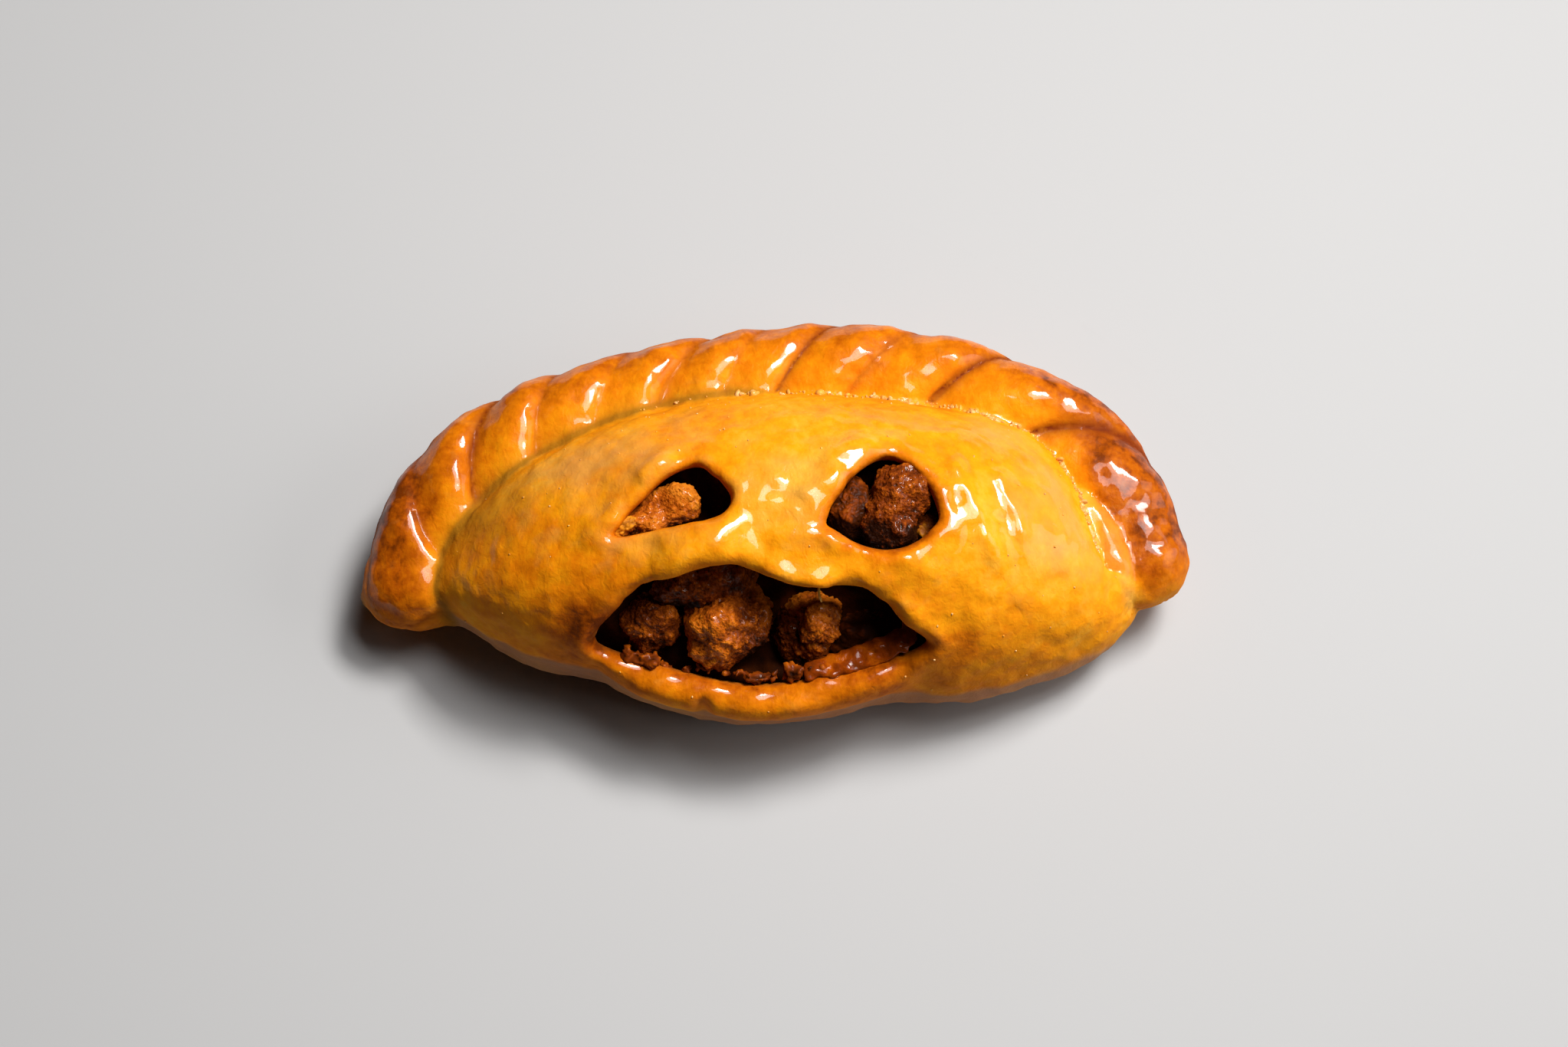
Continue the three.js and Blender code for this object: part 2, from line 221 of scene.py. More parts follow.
class Opening:
    """A hole cut through the crust: its outline, on a plane that leans forward, as across and up in mm. Its
    edge is rounded and swells, oil browned the dough round it, and under it the gravy has a hollow."""

    def __init__(self, x, y, lean, rounding, swell, oil, hollow, corners):
        tilt = np.radians(lean)
        self.place = np.array([x, y, crown_at(x, y)])
        self.axes = np.array([[1, 0, 0], [0, np.cos(tilt), np.sin(tilt)], [0, -np.sin(tilt), np.cos(tilt)]])
        self.rounding, self.swell, self.oil, self.hollow = rounding, swell, oil, np.array(hollow)
        self.outline = smooth_curve(corners)
        self.reach = np.abs(self.outline).max(0) + RIM_REACH

    def local(self, p):
        """Places as across, up and out from the opening's middle."""
        return (p - self.place) @ self.axes.T

    def world(self, q):
        """Places on the puff of places across, up and out from the opening's middle."""
        return q @ self.axes + self.place

    def distance(self, q):
        """How far across and up each place is outside the outline."""
        best = np.full(len(q), np.inf)
        inside = np.zeros(len(q), bool)
        for start, end in zip(self.outline, np.roll(self.outline, -1, 0)):
            edge, off = end - start, q[:, :2] - start
            share = np.clip(off @ edge / (edge @ edge), 0, 1)
            best = np.minimum(best, ((off - share[:, None] * edge) ** 2).sum(1))
            crosses = (start[1] > q[:, 1]) != (end[1] > q[:, 1])
            inside ^= crosses & (off[:, 0] * abs(edge[1]) < edge[0] * off[:, 1] * np.sign(edge[1]))
        return np.where(inside, -1, 1) * np.sqrt(best)


openings = {
    "left_eye": Opening(-15.5, -4.2, 14, 1.8, 0.35, 0.06, (12, 9, 12), [
        (-8.8, -5), (-4.5, 0.5), (0, 4.4), (4.5, 5.3), (8.3, 1.6), (8, -1.4), (4.5, -3.2), (-2.5, -4.4)]),
    "right_eye": Opening(14.8, -4.4, 14, 1.7, 0.3, 0.4, (12, 10, 12), [
        (-8.6, -2.4), (-3.2, 5.2), (1.5, 6.8), (6, 3.8), (8.7, -2.2), (5.5, -5.6), (0, -7), (-5.5, -5.2)]),
    "mouth": Opening(-2.8, -22.2, 42, 3.2, 0.9, 0.08, (27, 13.5, 14), [
        (-24, -5.3), (-21, 2.4), (-15, 7.6), (-5.5, 10.2), (2, 8.0), (8.5, 6.6), (15.4, 5.6), (22, -0.7),
        (24, -4.2), (15.6, -8), (0, -10.6), (-12, -8.8)]),
}
mouth = openings["mouth"]


def rim_distances(p):
    """For each opening, the places near it, how far outside its outline they are, and how far out from it."""
    for opening in openings.values():
        q = opening.local(p)
        near = (np.abs(q[:, :2]) < opening.reach).all(1) & (q[:, 2] > -CUT_DEPTH - RIM_BELOW)
        near = np.flatnonzero(near)
        yield opening, near, opening.distance(q[near]), q[near, 2]


# The lower lip bulges: how far, how far below the cut, over what spread, and where on the mouth's plane, from
# none of it to all of it. A notch parts it into two rolls.
POUT, POUT_BELOW, POUT_SPREAD = 2.3, 4.2, 2.6
POUT_UP, POUT_ACROSS = (-2.0, -6.0), (24.0, 18.0)
NOTCH_X, NOTCH_DEPTH, NOTCH_SPREAD = -11.3, 0.7, 1.1


def pout_height(x, q, rim):
    """How far the lower lip bulges at places near the mouth."""
    below = rise(q[:, 1], *POUT_UP) * rise(np.abs(q[:, 0]), *POUT_ACROSS)
    notch = 1 - NOTCH_DEPTH * hump(x - NOTCH_X, NOTCH_SPREAD)
    return POUT * below * notch * hump(rim - POUT_BELOW, POUT_SPREAD)


# Folds in the face, pulled up between the cuts: the plan places of their ends, their heights and half widths.
FOLDS = [
    ((-13.5, -12.6), (-9.2, -10.4), 1.5, 4.0),
    ((15.4, -14.8), (18.6, -13.6), 1.4, 3.2),
    ((25.5, 2.5), (31.5, -11.5), 1.0, 1.6),
    ((32.2, 1.6), (35.5, -7.0), 0.6, 1.2),
    ((-2.5, -4.0), (1.5, 4.0), 0.35, 2.2),
    ((0.0, -10.2), (7.0, -9.4), 0.6, 1.8),
    ((1.0, -15.2), (6.0, -15.8), 0.3, 1.6),
    ((-24, 1.0), (-13, 4.4), 0.5, 2.0),
    ((7.5, 2.6), (12.5, 5.6), 1.1, 2.2),
    ((-19.5, 0.4), (-16.5, 2.8), 0.9, 1.7),
    ((-17, -13.8), (-9.5, -11.4), 0.6, 1.4),
    ((3.6, -3.4), (6.4, -1.0), 0.6, 1.3),
]


def fold_heights(p):
    """How high the folds in the face stand over each place of its upper side."""
    height = np.zeros(len(p))
    for start, end, tall, half_width in FOLDS:
        edge, off = np.subtract(end, start), p[:, :2] - start
        share = np.clip(off @ edge / (edge @ edge), 0, 1)
        apart = ((off - share[:, None] * edge) ** 2).sum(1)
        height += tall * np.exp(-apart / half_width ** 2) * (p[:, 2] > WAIST)
    return height


SWELL_OUT, SWELL_SPREAD = 1.5, 2.2  # how far outside a cut its edge swells most, and over what
EDGE_IN = 0.3  # how far a cut's puffed edge stands into its outline
SEAM_X, SEAM_ROUNDING = (-12, 10), (2.4, 0.8)  # the seam is rounder on the left, where it was pressed in
INNER_ROUNDING, SOLE_ROUNDING = 1.0, 1.2


def crust_distance(p):
    """How far each place is outside the crust's dough, or inside it where negative."""
    rims = list(rim_distances(p))
    face = body_distance(p)
    for opening, near, rim, _ in rims:
        x, y = p[near, 0], p[near, 1]
        uneven = 1 + 0.6 * np.sin(0.31 * x + 1.0) * np.cos(0.37 * y) + 0.3 * np.sin(0.83 * x - 0.6 * y)
        face[near] -= opening.swell * uneven * hump(np.maximum(rim, 0) - SWELL_OUT, SWELL_SPREAD)
        if opening is mouth:
            face[near] -= pout_height(x, opening.local(p[near]), rim)
    face -= fold_heights(p)
    edge = np.minimum(rope_distance(p)[0], tail_distance(p))
    whole = -smooth_max(-edge, -face, np.interp(p[:, 0], SEAM_X, SEAM_ROUNDING))
    cavity = np.maximum(body_distance(p, WALL), WALL - p[:, 2])
    wall = smooth_max(whole, -cavity, INNER_ROUNDING)
    for opening, near, rim, out in rims:
        cut = np.maximum(rim + EDGE_IN, -CUT_DEPTH - out)
        wall[near] = smooth_max(wall[near], -cut, opening.rounding)
    return smooth_max(wall, -p[:, 2], SOLE_ROUNDING)


def skin(distance, low, high, step):
    """The surface where a distance is nought: places, and faces of four, on a grid of that step."""
    axes = [np.arange(a, b + step, step) for a, b in zip(low, high)]
    grid = np.stack(np.meshgrid(*axes, indexing="ij"), -1)
    shape = grid.shape[:3]
    value = distance(grid.reshape(-1, 3)).reshape(shape)
    inside = value < 0
    cells = np.array(shape) - 1
    wide, deep, tall = cells
    filled = sum(inside[i:i + wide, j:j + deep, k:k + tall].astype(int) for i, j, k in np.ndindex(2, 2, 2))
    active = np.argwhere((filled > 0) & (filled < 8))
    index = np.full(cells, -1)
    index[tuple(active.T)] = np.arange(len(active))
    total, hits = np.zeros((len(active), 3)), np.zeros(len(active))
    for corner in np.ndindex(2, 2, 2):
        for axis in np.flatnonzero(np.array(corner) == 0):
            other = np.array(corner)
            other[axis] = 1
            a, b = value[tuple((active + corner).T)], value[tuple((active + other).T)]
            crosses = (a < 0) != (b < 0)
            share = np.where(crosses, a / np.where(crosses, a - b, 1), 0)
            total += crosses[:, None] * (np.array(corner) + share[:, None] * (other - corner))
            hits += crosses
    places = np.array(low) + (active + total / hits[:, None]) * step
    faces = []
    for axis in range(3):
        _, two, three = np.roll(np.eye(3, dtype=int), axis, 1)
        near = np.take(inside, range(cells[axis]), axis)
        far = np.take(inside, range(1, shape[axis]), axis)
        node = np.argwhere(near != far)
        at_two, at_three = node @ two, node @ three
        node = node[(at_two > 0) & (at_three > 0) & (at_two < cells @ two) & (at_three < cells @ three)]
        ring = [index[tuple((node - back).T)] for back in (0 * two, two, two + three, three)]
        quad = np.stack(ring, 1)
        flip = ~inside[tuple(node.T)]
        quad[flip] = quad[flip][:, ::-1]
        faces.append(quad)
    return places, np.concatenate(faces)


def slope(distance, p, step=0.15):
    """Which way, and how fast, a distance grows at each place."""
    return np.stack([(distance(p + d) - distance(p - d)) / (2 * step) for d in np.eye(3) * step], 1)


def settle(places, distance, rounds, most):
    """Moves places onto the surface where a distance is nought, by at most that much a round."""
    for _ in range(rounds):
        way = slope(distance, places)
        size = np.maximum((way ** 2).sum(1), 0.05)
        move = -(distance(places) / size)[:, None] * way
        far = np.maximum(np.linalg.norm(move, axis=1) / most, 1)
        places = places + move / far[:, None]
    return places


# Large odd numbers that scatter whole numbers, for the noise.
SCATTER_CELL, SCATTER_SEED = np.array([73856093, 19349663, 83492791]), 2654435
SCATTER_ONCE, SCATTER_TWICE, LOW_BITS = 1274126177, 668265263, 0x7FFFFFFF


def noise(p, size, seed):
    """Smooth random bumps about that many mm across, from about -1 to 1."""
    q = p / size + 31.7 * seed
    cell = np.floor(q).astype(np.int64)
    part = q - cell
    eased = part ** 3 * (part * (part * 6 - 15) + 10)
    total = np.zeros(len(p))
    for corner in np.ndindex(2, 2, 2):
        code = (cell + corner) @ SCATTER_CELL + seed * SCATTER_SEED
        code = (code ^ (code >> 13)) * SCATTER_ONCE & LOW_BITS
        code = (code ^ (code >> 15)) * SCATTER_TWICE & LOW_BITS
        way = np.stack([code >> 3 & 1023, code >> 11 & 1023, code >> 19 & 1023], 1) / 511.5 - 1
        weight = np.prod(np.where(corner, eased, 1 - eased), 1)
        total += weight * ((part - corner) * way).sum(1)
    return total * 1.5


def bumps(p, rows):
    """Several noises added up: a height, a size across and a seed for each."""
    return sum(height * noise(p, size, seed) for height, size, seed in rows)


def unit(v):
    return v / np.maximum(np.linalg.norm(v, axis=1, keepdims=True), 1e-9)


def add_piece(name, places, faces, values=()):
    """A smooth mesh of places in mm and faces, with named values at its points."""
    mesh = bpy.data.meshes.new(name)
    mesh.from_pydata((places * MM + PUFF_ORIGIN).tolist(), [], [list(face) for face in faces])
    mesh.shade_smooth()
    for key, value in dict(values).items():
        mesh.attributes.new(key, "FLOAT", "POINT").data.foreach_set("value", np.asarray(value, np.float32))
    piece = bpy.data.objects.new(name, mesh)
    bpy.context.scene.collection.objects.link(piece)
    return piece


CRUST_LOW, CRUST_HIGH, CRUST_STEP = (-64.5, -33, -1.2), (64.5, 33, 37.8), 0.59
dough, dough_faces = skin(crust_distance, CRUST_LOW, CRUST_HIGH, CRUST_STEP)
dough = settle(dough, crust_distance, 3, 0.25)
dough_out = unit(slope(crust_distance, dough))
x, y, z = dough.T

# Where each place of the dough is: on the rope or its tail, in the seam, in the cavity or near a cut.
SEAM_REACH, PRESSED_FROM, PRESSED_REACH, INSIDE_REACH = 1.1, 0.55, 0.8, 3.0
OIL_REACH = 2.4
rope, crease, redness = rope_distance(dough)
tail = tail_distance(dough)
on_tail = rise(rope - tail, -0.6, 0.6)
rope = np.minimum(rope, tail)
body = body_distance(dough)
on_rope = rise(body - rope, -0.8, 0.8)
on_tail = on_tail * on_rope
off_seam = np.maximum(rope, body)
seam = fade(off_seam, SEAM_REACH)
at_left = rise(x, 6, -8)
pressed_in = fade(off_seam - PRESSED_FROM, PRESSED_REACH) * at_left
inside_rope = fade(body, INSIDE_REACH) * on_rope
inner = rise(body, -1.2, -2.7) * (rope > 1)
rim = np.full(len(dough), RIM_REACH)
oil = np.zeros(len(dough))
for opening, near, outside, _ in rim_distances(dough):
    rim[near] = np.minimum(rim[near], outside)
    oil[near] += opening.oil * fade(outside, OIL_REACH)

# Lumps that rose in the oven on the face and at the cuts, and froth in the seam. The lower lip, and the
# bridge between the left eye and the mouth, baked smoother than the rest.
FACE_LUMPS = [(0.40, 13, 1), (0.28, 5.5, 2), (0.22, 2.3, 3)]
RIM_LUMPS = [(0.45, 4.2, 13), (0.16, 2.4, 14)]
FROTH, FROTH_SIZE, FROTH_SEED = 0.9, 1.5, 8
BRIDGE_X, BRIDGE_Y, BRIDGE_SPREAD = -7, -10.5, 6
SMOOTHER = 0.7
at_rim = hump(rim - 1, 2.5) * np.maximum(rise(y, -29, -21), 0.15)
on_lip = hump(rim - 3.5, 3.0) * rise(y, -22, -26)
on_bridge = hump(np.hypot(x - BRIDGE_X, y - BRIDGE_Y), BRIDGE_SPREAD)
lump = bumps(dough, FACE_LUMPS) + FROTH * np.abs(noise(dough, FROTH_SIZE, FROTH_SEED)) * seam
lump += bumps(dough, RIM_LUMPS) * at_rim
lump *= (1 - SMOOTHER * np.maximum(on_lip, on_bridge)) * rise(z, 0, 3) * (1 - inner)
dough = dough + lump[:, None] * dough_out
dough[:, 2] = np.maximum(dough[:, 2], 0)
x, y, z = dough.T

# How brown it baked, from 0 for straw to 1 for scorched. Part of it is painted: shade at the rope's left end
# and on the left of the face, and a glow on the lower lip.
FACE_BAKE, CUT_BAKE = 0.28, 0.3
ROPE_BAKE, ROPE_EDGE_BAKE, ROPE_INSIDE_BAKE, TAIL_BAKE = 0.19, 0.27, -0.12, -0.24
LEFT_END_BAKE_AND_SHADE, RIGHT_END_BAKE, RIGHT_EDGE_BAKE = 0.2, 0.05, 0.12
UNEVEN_BAKE = [(0.16, 16, 5), (0.12, 6, 6)]
# Where the face is browner, or paler: a plan place, how far round it, and how much. Those at the mouth's left
# corner and low on the left flank are partly painted shade. The two on the lower lip give it a redder orange
# that stands in for light shining through the dough.
BROWNER_AND_SHADE_SPOTS = [
    (-25, -18, 6, 0.3), (-30, -20, 4, 0.4), (-33, -14, 8, 0.08), (-44, -10, 8, 0.12), (-41, -1, 7, -0.04),
    (-14, 9, 9, 0.14), (27, -24, 9, 0.22), (37, -13, 9, -0.03), (2, -2, 8, -0.14), (32, 4, 9, 0.15),
    (20, 8, 8, 0.1), (-4, -11, 6, -0.1), (46, -14, 6, 0.04), (-45, -6, 9, 0.18), (-6, -30, 12, 0.34),
    (14, -30, 10, 0.34), (-26, -24, 10, 0.14), (41, -25, 6, 0.14),
]
rope_edge = rise(body, 3, 10) * on_rope
right_end = rise(x, 34, 56) * on_rope
left_end = rise(x, -50, -58) * on_rope
bake = FACE_BAKE + ROPE_BAKE * on_rope + ROPE_EDGE_BAKE * rope_edge + RIGHT_EDGE_BAKE * rope_edge * right_end
# The rope's left end is darker: browning, and painted shade.
bake += LEFT_END_BAKE_AND_SHADE * left_end + RIGHT_END_BAKE * right_end
bake += ROPE_INSIDE_BAKE * inside_rope + TAIL_BAKE * on_tail
bake += oil + CUT_BAKE * fade(rim + 0.6, 1.2)
bake += bumps(dough, UNEVEN_BAKE) * (1 - 0.6 * on_rope)
for spot_x, spot_y, spread, more in BROWNER_AND_SHADE_SPOTS:
    bake += more * hump(np.hypot(x - spot_x, y - spot_y), spread) * (1 - on_rope)

# Where the upper face stayed tan and dull, and where a pale painted sheen lies on the right of the face and
# between the eyes: a plan place, how far round it across and up, and how much.
UNEVEN_TAN = [(0.3, 8, 9), (0.22, 3.5, 10)]
TAN_AND_SHEEN_SPOTS = [
    (-31, 5, 15, 6, 0.8), (-22, -8, 8, 4, 0.4), (41, 3, 9, 9, 0.8), (1, -3, 8, 6, 0.5), (-6, 14, 14, 4, 0.2),
    (34, 12, 9, 4, 0.8), (45, -7, 5, 7, 0.5),
]
TAIL_TAN = 0.5
tan = bumps(dough, UNEVEN_TAN) * rise(z, 18, 23)
for spot_x, spot_y, spread_x, spread_y, more in TAN_AND_SHEEN_SPOTS:
    tan += more * hump(x - spot_x, spread_x) * hump(y - spot_y, spread_y)
# Kept to what faces up, where the light falls.
tan *= (1 - on_rope) * rise(dough_out[:, 2], 0.45, 0.70)
tan += TAIL_TAN * on_tail

# The sole is the pale band round the foot, which reaches higher on the left.
SOLE_TOP, SOLE_LEFT_RISE = 14.2, 2.5
crown = body_section(x, 0.0)[3] / (HEIGHT - WAIST)
sole_top = WAIST + (SOLE_TOP - WAIST) * crown + SOLE_LEFT_RISE * rise(x, -15, -30)
sole = rise(sole_top + 1.2 * noise(dough, 7, 4) - z, 0, 2) * (1 - 0.8 * on_rope)

# The egg wash shines on what faces up. It is thin at the back of the face on the left, on what faces the
# front right and at the rope's right end. The pressed seam, the olive left corner and the creases are dull.
# The olive left corner is painted shade: the face there falls away from the light.
olive_left_shade = 0.62 * hump(x + 45, 9) * hump(y + 1, 7) * (1 - on_rope)
dull = np.clip(np.maximum(pressed_in, inside_rope * at_left) + 1.4 * olive_left_shade, 0, 1)
matte = rise(x, 12, -4) * rise(y + 0.35 * np.abs(x), 5, 12) * (1 - on_rope)
flank = rise(0.6 * dough_out[:, 0] - 0.8 * dough_out[:, 1], 0.3, 0.55)
wash = rise(dough_out[:, 2] + 0.24 * on_rope, 0.6, 0.88) * (1 - 0.85 * matte) * (1 - 0.9 * dull)
wash *= (1 - crease * on_rope) * (1 - 0.8 * flank) * (1 - 0.3 * right_end)

crust = add_piece("baked_crust", dough, dough_faces, {
    "bake": bake,
    "groove": redness * on_rope,
    "fringe": seam * rise(x, 2, 16),
    "fold": np.clip(pressed_in + olive_left_shade + 0.5 * inside_rope * at_left, 0, 1),
    "tan": tan,
    "inner": inner,
    "sole": sole,
    "wash": wash,
})


class Wire:
    """A value or colour in a material: operators on values add Math nodes, and node adds any other."""

    def __init__(self, tree, socket=None):
        self.tree, self.socket = tree, socket

    def node(self, kind, settings=(), inputs=(), output=0):
        made = self.tree.nodes.new(kind)
        for name, value in dict(settings).items():
            if name == "stops":
                ramp = made.color_ramp.elements
                while len(ramp) < len(value):
                    ramp.new(1.0)
                for element, (at, colour) in zip(ramp, value):
                    element.position, element.color = at, (*colour, 1)
            else:
                setattr(made, name, value)
        for key, value in dict(inputs).items():
            if isinstance(value, Wire):
                self.tree.links.new(value.socket, made.inputs[key])
            else:
                made.inputs[key].default_value = value
        return Wire(self.tree, made.outputs[output])

    def math(self, operation, a, b):
        return self.node("ShaderNodeMath", {"operation": operation}, {0: a, 1: b})

    def __add__(self, other):
        return self.math("ADD", self, other)

    def __sub__(self, other):
        return self.math("SUBTRACT", self, other)

    def __rsub__(self, other):
        return self.math("SUBTRACT", other, self)

    def __mul__(self, other):
        return self.math("MULTIPLY", self, other)

    __radd__, __rmul__ = __add__, __mul__

    def clamp(self):
        return self.node("ShaderNodeClamp", {}, {0: self})

    def range(self, low, high):
        """0 at low, 1 at high and in between."""
        return self.node("ShaderNodeMapRange", {}, {"Value": self, "From Min": low, "From Max": high})

    def attribute(self, name):
        return self.node("ShaderNodeAttribute", {"attribute_name": name}, {}, "Fac")

    def grain(self, size_mm, detail=2.0, distortion=0.0, stretch=(1, 1, 1)):
        """Noise with bumps of about that size, in the puff's own coordinates, longer if stretch is less."""
        place = self.node("ShaderNodeTexCoord", {}, {}, "Object")
        place = self.node("ShaderNodeVectorMath", {"operation": "MULTIPLY"}, {0: place, 1: stretch})
        return self.node("ShaderNodeTexNoise", {}, {
            "Vector": place, "Scale": 1 / (size_mm * MM), "Detail": detail, "Distortion": distortion})

    def mix(self, low, high):
        """A colour between two, by this value."""
        return self.node("ShaderNodeMix", {"data_type": "RGBA"}, {0: self, 6: low, 7: (*high, 1)}, 2)

    def ramp(self, stops):
        return self.node("ShaderNodeValToRGB", {"stops": stops}, {0: self}, "Color")

    def bump(self, strength, depth_mm):
        """A normal, from this value as a height."""
        return self.node("ShaderNodeBump", {}, {
            "Strength": strength, "Distance": depth_mm * MM, "Height": self}, "Normal")


def new_material(name, paint, fixed):
    """A material: paint gives what varies over the surface, and fixed sets what doesn't."""
    material = bpy.data.materials.new(name)
    material.use_nodes = True
    tree = material.node_tree
    shader = tree.nodes["Principled BSDF"]
    for key, value in fixed.items():
        shader.inputs[key].default_value = value
    for key, wire in paint(Wire(tree)).items():
        tree.links.new(wire.socket, shader.inputs[key])
    return material


STRAW, GOLD, AMBER = (0.86, 0.42, 0.035), (0.88, 0.31, 0.004), (0.72, 0.19, 0.002)
RUSSET, SCORCH = (0.40, 0.078, 0.001), (0.17, 0.030, 0.001)
TAN = (0.64, 0.285, 0.052)
RED_GROOVE = (0.17, 0.024, 0.002)
# The darker olive of painted shade in the seam on the left and at the left corner.
OLIVE_SEAM_SHADE = (0.27, 0.115, 0.008)
SOLE_PALE = (0.40, 0.20, 0.11)
INNER_DOUGH = (0.26, 0.075, 0.008)


def paint_crust(w):
    blotch = w.grain(8, 3, 0.8) - 0.5
    fleck = w.grain(2.0, 3) - 0.5
    stroke = w.grain(3.0, 3, 0.4, (1, 0.35, 0.35)) - 0.5
    speck = w.grain(0.7, 2) - 0.5
    bake = w.attribute("bake") + 0.45 * blotch + 0.5 * fleck + 0.2 * stroke + 0.2 * speck
    colour = bake.ramp([(0.0, STRAW), (0.3, GOLD), (0.6, AMBER), (0.88, RUSSET), (1.0, SCORCH)])
    # Tan dough, and a painted sheen on the right of the face and between the eyes.
    tan = (w.attribute("tan") + 1.1 * (w.grain(3.2, 4, 0.5) - 0.5)).range(0.1, 0.9).clamp()
    colour = (tan * 0.75).mix(colour, TAN)
    colour = (w.attribute("fringe").range(0.5, 0.95) * 0.45).mix(colour, TAN)
    # Painted shade: the pressed seam on the left, the rope's inner side there and the olive left corner go
    # towards a darker olive. On the rope's inner side it is also dough that baked less.
    colour = (w.attribute("fold").range(0.1, 0.9).clamp() * 0.8).mix(colour, OLIVE_SEAM_SHADE)
    groove = (w.attribute("groove") * 1.1).clamp()
    colour = groove.mix(colour, RED_GROOVE)
    sole = (w.attribute("sole") + 0.6 * fleck).clamp() * w.attribute("sole")
    colour = (sole * 0.8).mix(colour, SOLE_PALE)
    inner = w.attribute("inner").clamp()
    colour = inner.mix(colour, INNER_DOUGH)
    wash = w.attribute("wash") * (1 - inner) * (1 - groove)
    patchy = w.grain(5, 3, 0.5).range(0.35, 0.62)
    roughness = 0.62 - wash * 0.22 - wash * patchy * 0.1
    wrinkle = w.grain(1.1, 3, 0.6, (1, 0.75, 0.75))
    relief = 0.8 * wrinkle + 0.8 * w.grain(4.5, 3) + 0.2 * w.grain(0.5, 2, 0.5)
    return {
        "Base Color": colour,
        "Roughness": roughness.clamp(),
        "Coat Weight": (wash * (0.65 + 0.35 * patchy)).clamp(),
        "Normal": relief.bump(0.6, 0.3),
    }


crust.data.materials.append(new_material("baked_crust", paint_crust, {
    "Specular IOR Level": 0.05, "Coat Roughness": 0.06, "Coat IOR": 1.46,
    "Subsurface Weight": 0.05, "Subsurface Radius": (1.0, 0.4, 0.1), "Subsurface Scale": 0.002}))
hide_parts("crust")
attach(crust, "root")


# The bubbles: fat and steam came out along the seam, between the rope and the body, and set there as a fringe
# of tiny pale blisters. A few more stand on the face. They are dough, fused to the crust.

FRINGE_COUNT, BLISTER_COUNT = 900, 90
FRINGE_LEAST, FRINGE_MORE = 0.14, 0.45  # half sizes, most of them near the least
BLISTER_SIZES = (0.08, 0.19)
FRINGE_X, FRINGE_SHARE = (-24, -22, 0, 10, 49, 50), (0, 0.1, 0.3, 1, 1, 0)  # how thick it is along the seam
FRINGE_SUNK = 0.1  # a share of the half size
BUBBLE_CRAGS = 0.5


def ball(fineness):
    """Places on a unit ball of even triangles, and the triangles."""
    shape = bmesh.new()
    bmesh.ops.create_icosphere(shape, subdivisions=fineness, radius=1)
    shape.verts.ensure_lookup_table()
    places = np.array([v.co[:] for v in shape.verts])
    faces = np.array([[v.index for v in f.verts] for f in shape.faces])
    shape.free()
    return places, faces


def uneven_balls(spots, sizes, crags, rng):
    """Small uneven balls of those half sizes on spots: their places and triangles."""
    shape, faces = ball(2)
    spread = sizes[:, None, None] * rng.uniform(0.7, 1.3, (len(spots), 1, 3)) * shape
    places = (spots[:, None] + spread).reshape(-1, 3)
    out = np.tile(shape, (len(spots), 1))
    size = np.repeat(sizes, len(shape))
    places = places + (crags * size * noise(places / size[:, None], 1.0, 21))[:, None] * out
    return places, (faces + len(shape) * np.arange(len(spots))[:, None, None]).reshape(-1, 3)


bubble_rng = np.random.default_rng(5)
in_seam = (seam > 0.45) * (on_rope < 0.7) * (z > 13) * np.interp(x, FRINGE_X, FRINGE_SHARE)
fringe = bubble_rng.choice(len(dough), FRINGE_COUNT, False, in_seam / in_seam.sum())
on_face = (on_rope < 0.1) * (z > 12) * (rim > 1.5) * (inner == 0)
blisters = bubble_rng.choice(len(dough), BLISTER_COUNT, False, on_face / on_face.sum())
fringe_sizes = FRINGE_LEAST + FRINGE_MORE * bubble_rng.random(FRINGE_COUNT) ** 2
bubble_sizes = np.concatenate([fringe_sizes, bubble_rng.uniform(*BLISTER_SIZES, BLISTER_COUNT)])
fringe_spots = dough[fringe] - FRINGE_SUNK * fringe_sizes[:, None] * dough_out[fringe]
bubble_spots = np.concatenate([fringe_spots, dough[blisters]])
bubbles = add_piece("bubbles", *uneven_balls(bubble_spots, bubble_sizes, BUBBLE_CRAGS, bubble_rng))

PALE_BLISTER = (0.90, 0.56, 0.22)


def paint_bubbles(w):
    colour = w.grain(1.5, 2).ramp([(0.3, STRAW), (0.5, TAN), (0.7, PALE_BLISTER)])
    return {"Base Color": colour, "Roughness": 0.4 + 0.3 * w.grain(1.0, 2)}


bubbles.data.materials.append(new_material("pale_blisters", paint_bubbles, {
    "Coat Weight": 0.3, "Coat Roughness": 0.1, "Specular IOR Level": 0.2}))
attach(bubbles, "root")


# The gravy: curry cooked down until it holds together, which fills the crust and has settled away under the
# openings. It is the core that the dice sit in.

CLEARANCE = 0.8
HOLLOW_ROUNDING = 1.5
GRAVY_LOW, GRAVY_HIGH, GRAVY_STEP = (-56, -32, 2), (56, 24, 34), 0.9
GRAVY_LUMPS = [(0.7, 4.5, 11), (0.5, 2.0, 12)]


def gravy_distance(p):
    """How far each place is outside the gravy."""
    mass = np.maximum(body_distance(p, WALL + CLEARANCE), WALL + CLEARANCE - p[:, 2])
    for opening in openings.values():
        hollow = (np.linalg.norm(opening.local(p) / opening.hollow, axis=1) - 1) * opening.hollow.min()
        mass = smooth_max(mass, -hollow, HOLLOW_ROUNDING)
    return mass


